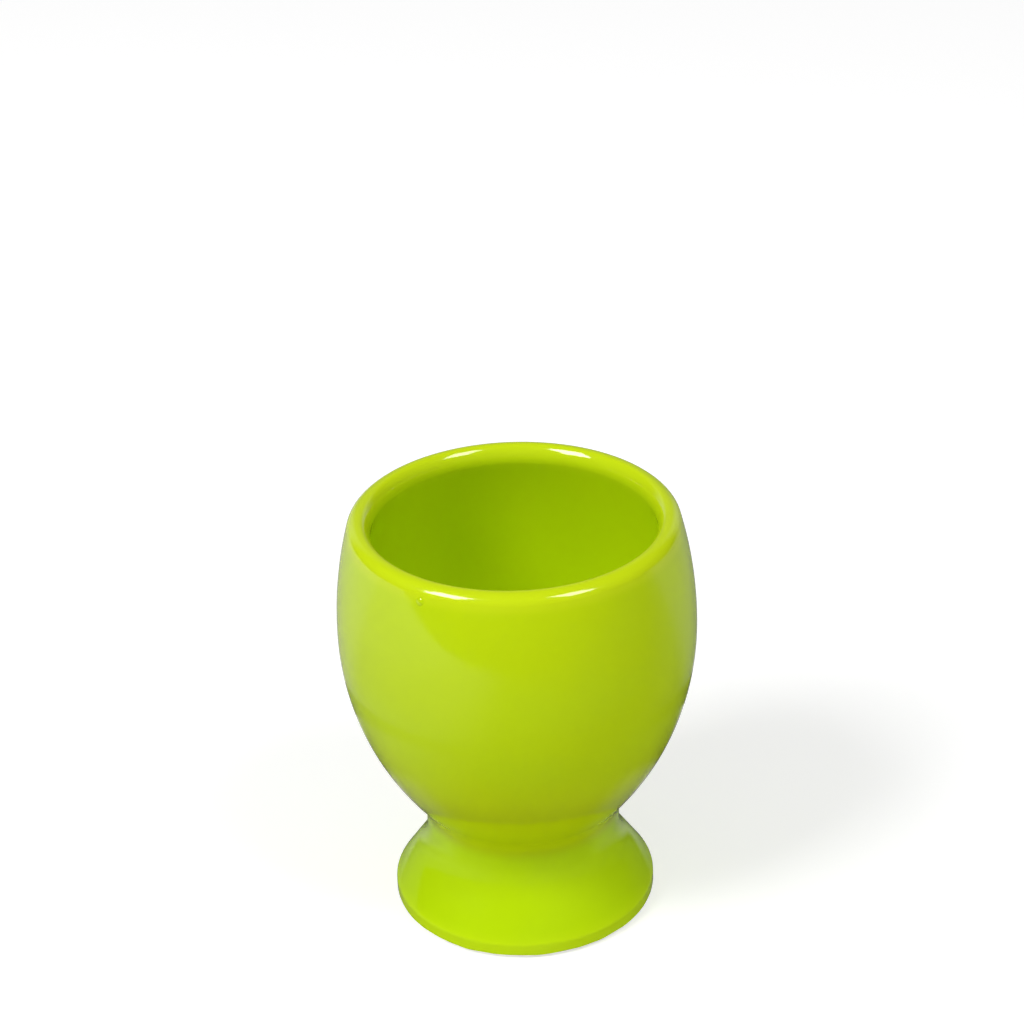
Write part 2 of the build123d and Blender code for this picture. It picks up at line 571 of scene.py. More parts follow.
@dataclass
class TurningWheel:
    """Geometry Nodes tree that turns a flat section about Z into one closed mesh."""

    merge_reach: float = 1e-7
    hem_waves: float = 260.0
    crease_angle: float = 50.0

    def __post_init__(self) -> None:
        """Build the tree."""
        self.bench = NodeBench(bpy.data.node_groups.new("turned_section", "GeometryNodeTree"))
        for name, kind in (
            ("Section", "NodeSocketGeometry"),
            ("Segments", "NodeSocketInt"),
            ("Inset", "NodeSocketFloat"),
            ("Ripple Depth", "NodeSocketFloat"),
            ("Ripple Scale", "NodeSocketFloat"),
            ("Hem Rise", "NodeSocketFloat"),
            ("Seed", "NodeSocketFloat"),
            ("Finish", "NodeSocketMaterial"),
        ):
            self.bench.open_socket(name, kind)
        self.bench.open_socket("Turned", "NodeSocketGeometry", way="OUTPUT")
        self._wire()

    def _wire(self) -> None:
        """Place and join the nodes: a grid, rolled round Z along the section, merged and rippled."""
        bench = self.bench
        given = bench.node("NodeGroupInput").outputs
        shape, turn, ring = self._grid(given)
        for label in CARRIED:
            shape = self._carry(shape, label, given["Section"], ring)
        roll = bench.node("GeometryNodeSetPosition")
        bench.feed(roll.inputs["Geometry"], shape)
        bench.feed(roll.inputs["Position"], self._rolled(given["Section"], turn, ring))
        merge = bench.node("GeometryNodeMergeByDistance")
        bench.feed(merge.inputs["Geometry"], roll.outputs[0])
        merge.inputs["Distance"].default_value = self.merge_reach
        self._finish(self._ripple(merge.outputs[0], given), given)

    def _grid(self, given: bpy.types.NodeOutputs) -> tuple[Socket, Socket, Socket]:
        """Flat grid, 1 m each way, with a column for each segment and a row for each section point.

        Args:
            given: Sockets of the tree's inputs.

        Returns:
            The grid, the turn of each column in radians, and the number of each row.
        """
        bench = self.bench
        count = bench.node("GeometryNodeAttributeDomainSize", component="MESH")
        bench.feed(count.inputs[0], given["Section"])
        rings = count.outputs["Point Count"]
        grid = bench.node("GeometryNodeMeshGrid")
        bench.feed(grid.inputs["Vertices X"], bench.sum("ADD", given["Segments"], 1.0))
        bench.feed(grid.inputs["Vertices Y"], rings)
        grid.inputs["Size X"].default_value = 1.0
        grid.inputs["Size Y"].default_value = 1.0
        spot = bench.axes(bench.node("GeometryNodeInputPosition").outputs[0])
        turn = bench.sum("MULTIPLY", bench.sum("ADD", spot["X"], 0.5), math.tau)
        along = bench.sum("ADD", spot["Y"], 0.5)
        ring = bench.sum("ROUND", bench.sum("MULTIPLY", along, bench.sum("SUBTRACT", rings, 1.0)))
        return grid.outputs["Mesh"], turn, ring

    def _rolled(self, section: Socket, turn: Socket, ring: Socket) -> Socket:
        """Where each point of the grid lies once it is rolled round Z.

        Args:
            section: Section's geometry.
            turn: Turn of the point's column in radians.
            ring: Number of the section's point.

        Returns:
            The place's socket.
        """
        bench = self.bench
        own = bench.node("GeometryNodeInputPosition").outputs[0]
        spot = bench.axes(self._sample(section, own, ring, "FLOAT_VECTOR"))
        rolled = bench.node("ShaderNodeCombineXYZ")
        bench.feed(rolled.inputs["X"], bench.sum("MULTIPLY", spot["X"], bench.sum("COSINE", turn)))
        bench.feed(rolled.inputs["Y"], bench.sum("MULTIPLY", spot["X"], bench.sum("SINE", turn)))
        bench.feed(rolled.inputs["Z"], spot["Z"])
        return rolled.outputs[0]

    def _sample(self, section: Socket, value: Socket, index: Socket, data_type: str) -> Socket:
        """Read a value from one point of the section.

        Args:
            section: Section's geometry.
            value: Value to read.
            index: Number of the point.
            data_type: Blender's name for the value's type.

        Returns:
            The value's socket.
        """
        made = self.bench.node("GeometryNodeSampleIndex", data_type=data_type, domain="POINT")
        self.bench.feed(made.inputs["Geometry"], section)
        self.bench.feed(made.inputs["Value"], value)
        self.bench.feed(made.inputs["Index"], index)
        return made.outputs["Value"]

    def _carried(self, label: str) -> Socket:
        """Read a named attribute.

        Args:
            label: Name of the attribute.

        Returns:
            The value's socket.
        """
        made = self.bench.node("GeometryNodeInputNamedAttribute", data_type="FLOAT")
        made.inputs["Name"].default_value = label
        return made.outputs["Attribute"]

    def _carry(self, shape: Socket, label: str, section: Socket, index: Socket) -> Socket:
        """Copy a named attribute from the section to the grid.

        Args:
            shape: Grid's geometry.
            label: Name of the attribute.
            section: Section's geometry.
            index: Number of the section's point.

        Returns:
            The geometry's socket.
        """
        made = self.bench.node("GeometryNodeStoreNamedAttribute", data_type="FLOAT", domain="POINT")
        self.bench.feed(made.inputs["Geometry"], shape)
        made.inputs["Name"].default_value = label
        self.bench.feed(made.inputs["Value"], self._sample(section, self._carried(label), index, "FLOAT"))
        return made.outputs[0]

    def _noise(self, scale: object, seed: Socket) -> Socket:
        """Seeded noise at the point's own place.

        Args:
            scale: Waves to the metre.
            seed: Place along the noise's fourth axis.

        Returns:
            The noise's socket, from 0 to 1.
        """
        made = self.bench.node("ShaderNodeTexNoise", noise_dimensions="4D")
        self.bench.feed(made.inputs["Vector"], self.bench.node("GeometryNodeInputPosition").outputs[0])
        self.bench.feed(made.inputs["W"], seed)
        self.bench.feed(made.inputs["Scale"], scale)
        made.inputs["Detail"].default_value = 1.0
        return made.outputs[0]

    def _ripple(self, shape: Socket, given: bpy.types.NodeOutputs) -> Socket:
        """Draw the fired face in by an uneven amount, and lift the hem unevenly.

        Args:
            shape: Turned geometry.
            given: Sockets of the tree's inputs.

        Returns:
            The geometry's socket.
        """
        bench = self.bench
        uneven = self._noise(given["Ripple Scale"], given["Seed"])
        wave = bench.sum("MULTIPLY", uneven, given["Ripple Depth"])
        inward = bench.sum("MULTIPLY", bench.sum("ADD", wave, given["Inset"]), self._carried("fired"))
        draw_in = bench.node("ShaderNodeVectorMath", operation="SCALE")
        bench.feed(draw_in.inputs[0], bench.node("GeometryNodeInputNormal").outputs[0])
        bench.feed(draw_in.inputs["Scale"], bench.sum("MULTIPLY", inward, -1.0))
        rise = bench.sum("MULTIPLY", self._carried("hem"), given["Hem Rise"])
        lift = bench.node("ShaderNodeCombineXYZ")
        ragged = self._noise(self.hem_waves, given["Seed"])
        bench.feed(lift.inputs["Z"], bench.sum("MULTIPLY", rise, ragged))
        both = bench.node("ShaderNodeVectorMath", operation="ADD")
        bench.feed(both.inputs[0], draw_in.outputs[0])
        bench.feed(both.inputs[1], lift.outputs[0])
        move = bench.node("GeometryNodeSetPosition")
        bench.feed(move.inputs["Geometry"], shape)
        bench.feed(move.inputs["Offset"], both.outputs[0])
        return move.outputs[0]

    def _finish(self, shape: Socket, given: bpy.types.NodeOutputs) -> None:
        """Shade the mesh smooth but for its corners, and give it its finish.

        Args:
            shape: Rippled geometry.
            given: Sockets of the tree's inputs.
        """
        bench = self.bench
        smooth = bench.node("GeometryNodeSetShadeSmooth", domain="FACE")
        bench.feed(smooth.inputs[0], shape)
        angle = bench.node("GeometryNodeInputMeshEdgeAngle").outputs["Unsigned Angle"]
        sharp = bench.sum("GREATER_THAN", angle, math.radians(self.crease_angle))
        crease = bench.node("GeometryNodeSetShadeSmooth", domain="EDGE")
        bench.feed(crease.inputs[0], smooth.outputs[0])
        bench.feed(crease.inputs["Selection"], sharp)
        crease.inputs["Shade Smooth"].default_value = False
        real = bench.node("GeometryNodeRealizeInstances")
        bench.feed(real.inputs[0], crease.outputs[0])
        dress = bench.node("GeometryNodeSetMaterial")
        bench.feed(dress.inputs["Geometry"], real.outputs[0])
        bench.feed(dress.inputs["Material"], given["Finish"])
        bench.feed(bench.node("NodeGroupOutput").inputs[0], dress.outputs[0])

    def turn(self, name: str, section: Section, **inputs: object) -> bpy.types.Object:
        """Turn a section into a plain mesh.

        Args:
            name: Name of the new piece.
            section: Section to turn.
            inputs: The tree's other inputs, with _ for each space in a name.

        Returns:
            The piece, at the origin, with no modifier left on it.
        """
        flat = section.mesh(name)
        piece = bpy.data.objects.new(name, flat)
        bpy.context.scene.collection.objects.link(piece)
        work = piece.modifiers.new("work", "NODES")
        work.node_group = self.bench.tree
        items = self.bench.tree.interface.items_tree
        keys = {item.name: item.identifier for item in items if item.in_out == "INPUT"}
        for label, value in inputs.items():
            work[keys[label.replace("_", " ")]] = value
        shaped = piece.evaluated_get(bpy.context.evaluated_depsgraph_get())
        mesh = bpy.data.meshes.new_from_object(shaped)
        piece.modifiers.remove(work)
        piece.data = mesh
        mesh.name = name
        bpy.data.meshes.remove(flat)
        return piece


@dataclass
class KilnMarks:
    """Shader node groups for the marks that firing leaves in glaze, clay and slip alike."""

    cloud_spread: Fade = Fade(0.28, 0.72)

    def __post_init__(self) -> None:
        """Build the groups."""
        self.mottle = self._mottle_group()
        self.pits = self._pit_group()

    def _mottle_group(self) -> bpy.types.NodeTree:
        """Group for cloudy unevenness.

        Returns:
            A tree that puts out a tone from 0 to 1.
        """
        bench = NodeBench(bpy.data.node_groups.new("kiln_mottle", "ShaderNodeTree"))
        bench.open_socket("Coordinates", "NodeSocketVector")
        bench.open_socket("Cloud Scale", "NodeSocketFloat")
        bench.open_socket("Cloud Detail", "NodeSocketFloat")
        bench.open_socket("Tone", "NodeSocketFloat", way="OUTPUT")
        given = bench.node("NodeGroupInput").outputs
        cloud = bench.node("ShaderNodeTexNoise")
        bench.feed(cloud.inputs["Vector"], given["Coordinates"])
        bench.feed(cloud.inputs["Scale"], given["Cloud Scale"])
        bench.feed(cloud.inputs["Detail"], given["Cloud Detail"])
        tone = bench.fade(cloud.outputs[0], self.cloud_spread)
        bench.feed(bench.node("NodeGroupOutput").inputs[0], tone)
        return bench.tree

    @staticmethod
    def _pit_group() -> bpy.types.NodeTree:
        """Group for scattered pin holes and pores.

        Returns:
            A tree that puts out a mask, 1 in the middle of a pit.
        """
        bench = NodeBench(bpy.data.node_groups.new("kiln_pits", "ShaderNodeTree"))
        bench.open_socket("Coordinates", "NodeSocketVector")
        bench.open_socket("Pit Scale", "NodeSocketFloat")
        bench.open_socket("Pit Width", "NodeSocketFloat")
        bench.open_socket("Pit Share", "NodeSocketFloat")
        bench.open_socket("Pits", "NodeSocketFloat", way="OUTPUT")
        given = bench.node("NodeGroupInput").outputs
        cells = bench.node("ShaderNodeTexVoronoi")
        bench.feed(cells.inputs["Vector"], given["Coordinates"])
        bench.feed(cells.inputs["Scale"], given["Pit Scale"])
        pick = bench.node("ShaderNodeSeparateColor")
        bench.feed(pick.inputs[0], cells.outputs["Color"])
        chosen = bench.sum("LESS_THAN", pick.outputs[0], given["Pit Share"])
        hollow = bench.ramp(cells.outputs["Distance"], 0.0, given["Pit Width"], 1.0, 0.0)
        bench.feed(bench.node("NodeGroupOutput").inputs[0], bench.sum("MULTIPLY", hollow, chosen))
        return bench.tree

    def clouds(self, bench: NodeBench, place: Socket, look: Clouds) -> Socket:
        """Place the mottle group in a material.

        Args:
            bench: The material's tree.
            place: Coordinates.
            look: Size and detail of the clouds.

        Returns:
            The tone's socket.
        """
        made = bench.node("ShaderNodeGroup", node_tree=self.mottle)
        bench.feed(made.inputs["Coordinates"], place)
        made.inputs["Cloud Scale"].default_value = look.scale
        made.inputs["Cloud Detail"].default_value = look.detail
        return made.outputs["Tone"]

    def pores(self, bench: NodeBench, place: Socket, look: Pores) -> Socket:
        """Place the pit group in a material.

        Args:
            bench: The material's tree.
            place: Coordinates.
            look: Size and number of the pits.

        Returns:
            The mask's socket.
        """
        made = bench.node("ShaderNodeGroup", node_tree=self.pits)
        bench.feed(made.inputs["Coordinates"], place)
        made.inputs["Pit Scale"].default_value = look.scale
        made.inputs["Pit Width"].default_value = look.width
        made.inputs["Pit Share"].default_value = look.share
        return made.outputs["Pits"]


def new_material(name: str) -> tuple[bpy.types.Material, NodeBench, bpy.types.Node]:
    """Start a material with one Principled shader.

    Args:
        name: Name of the material.

    Returns:
        The material, its tree and its shader.
    """
    material = bpy.data.materials.new(name)
    material.use_nodes = True
    bench = NodeBench(material.node_tree)
    return material, bench, material.node_tree.nodes["Principled BSDF"]


def emboss(bench: NodeBench, shader: bpy.types.Node, height: Socket) -> None:
    """Give a shader a fine relief.

    Args:
        bench: The material's tree.
        shader: The Principled shader.
        height: Height in metres over the smooth surface.
    """
    bump = bench.node("ShaderNodeBump")
    bench.feed(bump.inputs["Height"], height)
    bump.inputs["Distance"].default_value = 1.0
    bench.feed(shader.inputs["Normal"], bump.outputs[0])


@dataclass(frozen=True)
class GlazeFinish:
    """Glossy lime glaze, thin and yellower over the lip, with painted shade under the bowl above the
    waist and painted bounce light on the brim.
    """

    lime: Colour = (0.592, 0.79, 0.003)
    warm: Colour = (0.63, 0.78, 0.003)
    thin: Colour = (0.655, 0.83, 0.008)
    # Painted bounce light: lighter colour on the brim's band, standing in for light from the floor
    edge: Colour = (0.62, 0.86, 0.006)
    deep: Colour = (0.54, 0.8, 0.002)
    # Painted shade: darker colour on the outside of the bowl just above the waist, where shade falls
    # under the bowl
    under_bowl_shade: Colour = (0.53, 0.66, 0.002)
    upper_heights: Fade = Fade(0.02, 0.058)
    ridge_bends: Fade = Fade(0.05, 0.5)
    # Heights over which the painted shade under the bowl fades in and out
    waist_below: Fade = Fade(0.0125, 0.018)
    waist_above: Fade = Fade(0.03, 0.022)
    # Heights below which the colour turns greener, towards the foot
    foot_green_heights: Fade = Fade(0.0175, 0.0135)
    low_heights: Fade = Fade(0.038, 0.024)
    lit_brim_heights: Fade = Fade(0.0038, 0.0014)
    tone: Clouds = Clouds(90.0, 2.0)
    tone_share: float = 0.15
    gloss: Fade = Fade(0.0, 1.0, 0.08, 0.12)
    refraction: float = 1.65
    peel: Clouds = Clouds(700.0, 1.0)
    peel_depth: float = 0.000004
    pits: Pores = Pores(260.0, 0.06, 0.04)
    pit_depth: float = 0.00004

    def material(self, marks: KilnMarks) -> bpy.types.Material:
        """Build the material.

        Args:
            marks: Shared node groups.

        Returns:
            The material.
        """
        material, bench, shader = new_material(Slot.LIME_GLAZE.value)
        place = bench.own_place()
        cloud = marks.clouds(bench, place, self.tone)
        bench.feed(shader.inputs["Base Color"], self._colour(bench, place, cloud))
        bench.feed(shader.inputs["Roughness"], bench.fade(cloud, self.gloss))
        shader.inputs["IOR"].default_value = self.refraction
        raised = bench.sum("MULTIPLY", marks.clouds(bench, place, self.peel), self.peel_depth)
        sunk = bench.sum("MULTIPLY", marks.pores(bench, place, self.pits), self.pit_depth)
        emboss(bench, shader, bench.sum("SUBTRACT", raised, sunk))
        return material

    def _colour(self, bench: NodeBench, place: Socket, cloud: Socket) -> Socket:
        """Colour of the glaze, by height, by how sharply the clay bends and by the clouds in it; by
        height it also carries painted shade under the bowl and painted bounce light on the brim.

        Args:
            bench: The material's tree.
            place: Coordinates.
            cloud: Tone of the clouds.

        Returns:
            The colour's socket.
        """
        height = bench.axes(place)["Z"]
        bend = bench.node("ShaderNodeAttribute", attribute_name="bend").outputs["Fac"]
        outer = bench.node("ShaderNodeAttribute", attribute_name="outer").outputs["Fac"]
        above = bench.fade(height, self.waist_below)
        below = bench.fade(height, self.waist_above)
        # Painted shade under the bowl, on the outside only, between the waist's heights
        shade_mask = bench.chain("MULTIPLY", above, below, outer)
        upper = bench.fade(height, self.upper_heights)
        ridge = bench.sum("MULTIPLY", bench.fade(bend, self.ridge_bends), upper)
        uneven = bench.sum("MULTIPLY", cloud, self.tone_share)
        # Greener towards the foot, and a little greener in patches with the clouds
        run = bench.sum("MAXIMUM", bench.fade(height, self.foot_green_heights), uneven)
        body = bench.blend(bench.fade(height, self.low_heights), self.lime, self.warm)
        shaded_body = bench.blend(shade_mask, bench.blend(run, body, self.deep), self.under_bowl_shade)
        lipped = bench.blend(ridge, shaded_body, self.thin)
        # Painted bounce light on the brim, laid over the lip's colour
        return bench.blend(bench.fade(height, self.lit_brim_heights), lipped, self.edge)


@dataclass(frozen=True)
class ClayFinish:
    """Matt fired clay, with pores and specks."""

    slot: Slot = Slot.CLAY_BODY
    pale: Colour = (0.78, 0.73, 0.64)
    warm: Colour = (0.70, 0.63, 0.52)
    speck: Colour = (0.34, 0.26, 0.18)
    tone: Clouds = Clouds(180.0, 4.0)
    tone_share: float = 0.7
    specks: Pores = Pores(900.0, 0.25, 0.12)
    gloss: Fade = Fade(0.0, 1.0, 0.78, 0.92)
    grain: Clouds = Clouds(2600.0, 3.0)
    grain_depth: float = 0.00002
    pores: Pores = Pores(1500.0, 0.3, 0.3)
    pore_depth: float = 0.00006

    def material(self, marks: KilnMarks) -> bpy.types.Material:
        """Build the material.

        Args:
            marks: Shared node groups.

        Returns:
            The material.
        """
        material, bench, shader = new_material(self.slot.value)
        place = bench.own_place()
        cloud = bench.sum("MULTIPLY", marks.clouds(bench, place, self.tone), self.tone_share)
        body = bench.blend(cloud, self.pale, self.warm)
        specks = marks.pores(bench, place, self.specks)
        bench.feed(shader.inputs["Base Color"], bench.blend(specks, body, self.speck))
        grain = marks.clouds(bench, place, self.grain)
        bench.feed(shader.inputs["Roughness"], bench.fade(grain, self.gloss))
        raised = bench.sum("MULTIPLY", grain, self.grain_depth)
        sunk = bench.sum("MULTIPLY", marks.pores(bench, place, self.pores), self.pore_depth)
        emboss(bench, shader, bench.sum("SUBTRACT", raised, sunk))
        return material


def report(piece: bpy.types.Object) -> None:
    """Log a finished piece and the number of its faces."""
    LOG.info("%s: %d faces", piece.name, len(piece.data.polygons))


@dataclass
class Coat:
    """A fired coat of glaze that is turned from its section."""

    profile: CupProfile
    segments: int = 240
    fired_step: float = 0.0007
    covered_step: float = 0.003
    inset: float = 0.00001
    ripple_depth: float = 0.00006
    ripple_scale: float = 55.0
    hem_rise: float = 0.0004
    seed: float = 4.0

    def turned(
        self, name: str, section: Section, wheel: TurningWheel, finish: bpy.types.Material
    ) -> bpy.types.Object:
        """Turn the coat.

        Args:
            name: Name of the coat.
            section: Its section.
            wheel: Tree that turns a section.
            finish: Glaze material.

        Returns:
            The coat.
        """
        return wheel.turn(
            name,
            section,
            Segments=self.segments,
            Inset=self.inset,
            Ripple_Depth=self.ripple_depth,
            Ripple_Scale=self.ripple_scale,
            Hem_Rise=self.hem_rise,
            Seed=self.seed,
            Finish=finish,
        )


@dataclass
class GlazeCoat(Coat):
    """The fired coat over the outside, the lip and the inside of the bowl."""

    def section(self) -> Section:
        """Section from the floor's middle along the clay and back along the fired face.

        Returns:
            The section.
        """
        made = Section()
        hem = self.profile.bare_height
        covered = self.profile.coat_path(self.profile.glaze_thickness, self.covered_step)
        made.add(covered[::-1], Skin.COVERED, hem)
        made.add(self.profile.coat_path(0.0, self.fired_step), Skin.FIRED, hem)
        return made

    def build(self, wheel: TurningWheel, finish: bpy.types.Material) -> bpy.types.Object:
        """Turn and dress the coat.

        Args:
            wheel: Tree that turns a section.
            finish: Glaze material.

        Returns:
            The coat.
        """
        coat = self.turned("glaze_coat", self.section(), wheel, finish)
        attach(coat, BODY)
        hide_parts("outer_glaze", "inner_glaze")
        report(coat)
        return coat


@dataclass
class GlazeNib:
    """Small bead of glaze that firing left on the bowl, just below the lip."""

    profile: CupProfile
    azimuth: float = -33.0
    level: float = 0.0612
    width: float = 0.0013
    height: float = 0.00015
    root_depth: float = 0.0002
    segments: int = 24
    rings: int = 8

    def build(self, finish: bpy.types.Material) -> bpy.types.Object:
        """Model and dress the bead.

        Args:
            finish: Glaze material.

        Returns:
            The bead.
        """
        nib = bpy.data.objects.new("glaze_nib", self._dome())
        bpy.context.scene.collection.objects.link(nib)
        nib.data.materials.append(finish)
        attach(nib, BODY)
        report(nib)
        return nib

    def _places(self) -> list[Vector]:
        """Points of the dome: its top, then ring by ring down to its root in the coat.

        Returns:
            The points.
        """
        side = math.radians(self.azimuth)
        rise = math.asin((self.level - self.profile.belly_height) / self.profile.upper_radius)
        reach = self.profile.upper_centre[0] + self.profile.upper_radius * math.cos(rise)
        across = Vector((math.cos(side), math.sin(side), 0.0))
        away = Vector((math.sin(side), -math.cos(side), 0.0))
        out = away * math.cos(rise) + Vector((0.0, 0.0, math.sin(rise)))
        up = out.cross(across)
        root = away * reach + Vector((0.0, 0.0, self.level)) - out * self.root_depth
        swell = out * (self.height + self.root_depth)
        places = [root + swell]
        for ring in range(1, self.rings + 1):
            bow = math.pi / 2 * ring / self.rings
            for i in range(self.segments):
                turn = math.tau * i / self.segments
                spread = (across * math.cos(turn) + up * math.sin(turn)) * self.width / 2
                places.append(root + swell * math.cos(bow) + spread * math.sin(bow))
        return places

    def _dome(self) -> bpy.types.Mesh:
        """Closed dome at its place on the bowl.

        Returns:
            The mesh.
        """
        places = self._places()
        faces = [(0, 1 + i, 1 + (i + 1) % self.segments) for i in range(self.segments)]
        for ring in range(self.rings - 1):
            start = 1 + ring * self.segments
            below = start + self.segments
            for i in range(self.segments):
                after = (i + 1) % self.segments
                faces.append((start + i, below + i, below + after, start + after))
        rim = range(len(places) - self.segments, len(places))
        faces.append(tuple(reversed(rim)))
        mesh = bpy.data.meshes.new("glaze_nib")
        mesh.from_pydata(places, [], faces)
        mesh.polygons.foreach_set("use_smooth", [True] * len(faces))
        return mesh


@dataclass
class HollowCoat(Coat):
    """The fired coat in the hollow under the foot."""

    segments: int = 160
    fired_step: float = 0.0006
    covered_step: float = 0.002
    ripple_depth: float = 0.00008
    ripple_scale: float = 110.0
    hem_rise: float = 0.0006
    seed: float = 9.0

    def section(self) -> Section:
        """Section from the roof's middle along the fired face and back along the clay.

        Returns:
            The section.
        """
        made = Section()
        hem = self.profile.ring_edge_round
        made.add(self.profile.hollow_side(0.0, self.fired_step), Skin.FIRED, hem)
        covered = self.profile.hollow_side(self.profile.glaze_thickness, self.covered_step)
        made.add(covered[::-1], Skin.COVERED, hem)
        return made

    def build(self, wheel: TurningWheel, finish: bpy.types.Material) -> bpy.types.Object:
        """Turn and dress the coat.

        Args:
            wheel: Tree that turns a section.
            finish: Glaze material.

        Returns:
            The coat.
        """
        coat = self.turned("hollow_coat", self.section(), wheel, finish)
        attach(coat, BODY)
        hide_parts("hollow_glaze")
        report(coat)
        return coat


@dataclass
class ClayCore:
    """The clay bowl and foot and the slip between them, which keep the shapes of the solids."""

    clay_nodes: tuple[str, ...] = ("bowl", "pedestal_foot")
    slip_nodes: tuple[str, ...] = ("joining_slip",)

    def dress(self, clay: bpy.types.Material, slip: bpy.types.Material) -> None:
        """Give the solids their finishes.

        Args:
            clay: Material of the clay.
            slip: Material of the slip.
        """
        for nodes, finish in ((self.clay_nodes, clay), (self.slip_nodes, slip)):
            for node in nodes:
                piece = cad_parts[node]
                piece.data.materials.clear()
                piece.data.materials.append(finish)
                report(piece)


class LampSide(Enum):
    """Side of the camera that a softbox stands on."""

    LEFT = -1
    RIGHT = 1


@dataclass(frozen=True)
class Softbox:
    """A softbox aimed at the cup."""

    name: str
    side: LampSide
    azimuth: float
    elevation: float
    brightness: float
    width: float
    height: float
    distance: float = 1.2
    aim: Place = (0.0, 0.0, 0.06)

    def build(self) -> bpy.types.Object:
        """Make the lamp.

        Returns:
            The lamp's object.
        """
        lamp = bpy.data.lights.new(self.name, "AREA")
        lamp.shape = "RECTANGLE"
        lamp.size = self.width
        lamp.size_y = self.height
        lamp.energy = self.brightness * math.pi * self.width * self.height
        side = self.side.value * math.radians(self.azimuth)
        rise = math.radians(self.elevation)
        way = Vector((math.sin(side) * math.cos(rise), -math.cos(side) * math.cos(rise), math.sin(rise)))
        stand = bpy.data.objects.new(self.name, lamp)
        stand.location = Vector(self.aim) + way * self.distance
        stand.rotation_euler = (-way).to_track_quat("-Z", "Y").to_euler()
        bpy.context.scene.collection.objects.link(stand)
        return stand


def turned_sheet(name: str, rims: list[Point], material: bpy.types.Material) -> bpy.types.Object:
    """Make a thin sheet of the studio, round Z through the given rims.

    Args:
        name: Name of the sheet.
        rims: Radius and height of each rim, in order.
        material: Its finish.

    Returns:
        The sheet, marked as stage.
    """
    count = SHEET_SEGMENTS
    turns = [math.tau * i / count for i in range(count)]
    places = [(reach * math.cos(t), reach * math.sin(t), height) for reach, height in rims for t in turns]
    faces = []
    for ring in range(0, count * (len(rims) - 1), count):
        for i in range(count):
            after = (i + 1) % count
            faces.append((ring + i, ring + count + i, ring + count + after, ring + after))
    mesh = bpy.data.meshes.new(name)
    mesh.from_pydata(places, [], faces)
    mesh.materials.append(material)
    sheet = bpy.data.objects.new(name, mesh)
    bpy.context.scene.collection.objects.link(sheet)
    return sheet


@dataclass(frozen=True)
class Ground:
    """Wide flat ring, with a well hidden under the foot that lets light in to the hollow."""

    well: float = 0.0186
    near: float = 0.1
    reach: float = 2.6
    drop: float = 0.00015

    def rims(self, height: float) -> list[Point]:
        """Rims of the ring at a height."""
        return [(radius, height) for radius in (self.well, self.near, self.reach)]


@dataclass(frozen=True)
class PaperFloor:
    """White paper floor, clear from below, lifted to white for what looks straight at it."""

    ground: Ground
    white: Colour = (0.76, 0.76, 0.76)
    dimming: float = 0.985
    cloud_scale: float = 6.0
    roughness: float = 0.95
    lift: float = 0.5

    def build(self) -> None:
        """Make the floor."""
        material, bench, shader = new_material("floor_paper")
        cloud = bench.node("ShaderNodeTexNoise")
        bench.feed(cloud.inputs["Vector"], bench.own_place())
        cloud.inputs["Scale"].default_value = self.cloud_scale
        dimmer = tuple(self.dimming * part for part in self.white)
        bench.feed(shader.inputs["Base Color"], bench.blend(cloud.outputs[0], self.white, dimmer))
        shader.inputs["Roughness"].default_value = self.roughness
        shader.inputs["Specular IOR Level"].default_value = 0.0
        path = bench.node("ShaderNodeLightPath").outputs
        rays = ("Is Camera Ray", "Is Glossy Ray", "Is Transmission Ray")
        sight = bench.chain("MAXIMUM", *(path[ray] for ray in rays))
        lift = bench.node("ShaderNodeEmission")
        bench.feed(lift.inputs["Strength"], bench.sum("MULTIPLY", sight, self.lift))
        both = bench.node("ShaderNodeAddShader")
        bench.feed(both.inputs[0], shader.outputs[0])
        bench.feed(both.inputs[1], lift.outputs[0])
        clear = bench.node("ShaderNodeBsdfTransparent")
        mix = bench.node("ShaderNodeMixShader")
        bench.feed(mix.inputs[0], bench.node("ShaderNodeNewGeometry").outputs["Backfacing"])
        bench.feed(mix.inputs[1], both.outputs[0])
        bench.feed(mix.inputs[2], clear.outputs[0])
        bench.feed(material.node_tree.nodes["Material Output"].inputs["Surface"], mix.outputs[0])
        turned_sheet("floor", self.ground.rims(-self.ground.drop), material)


def glowing(name: str) -> tuple[bpy.types.Material, NodeBench, Socket]:
    """Start a material that only glows.

    Args:
        name: Name of the material.

    Returns:
        The material, its tree and the socket of its brightness.
    """
    material = bpy.data.materials.new(name)
    material.use_nodes = True
    bench = NodeBench(material.node_tree)
    bench.tree.nodes.remove(bench.tree.nodes["Principled BSDF"])
    glow = bench.node("ShaderNodeEmission")
    bench.feed(bench.tree.nodes["Material Output"].inputs["Surface"], glow.outputs[0])
    return material, bench, glow.inputs["Strength"]


def only_mirrored(card: bpy.types.Object) -> None:
    """Hide a card from all but what mirrors it.

    Args:
        card: The card.
    """
    card.visible_camera = False
    card.visible_diffuse = False
    card.visible_transmission = False
    card.visible_shadow = False


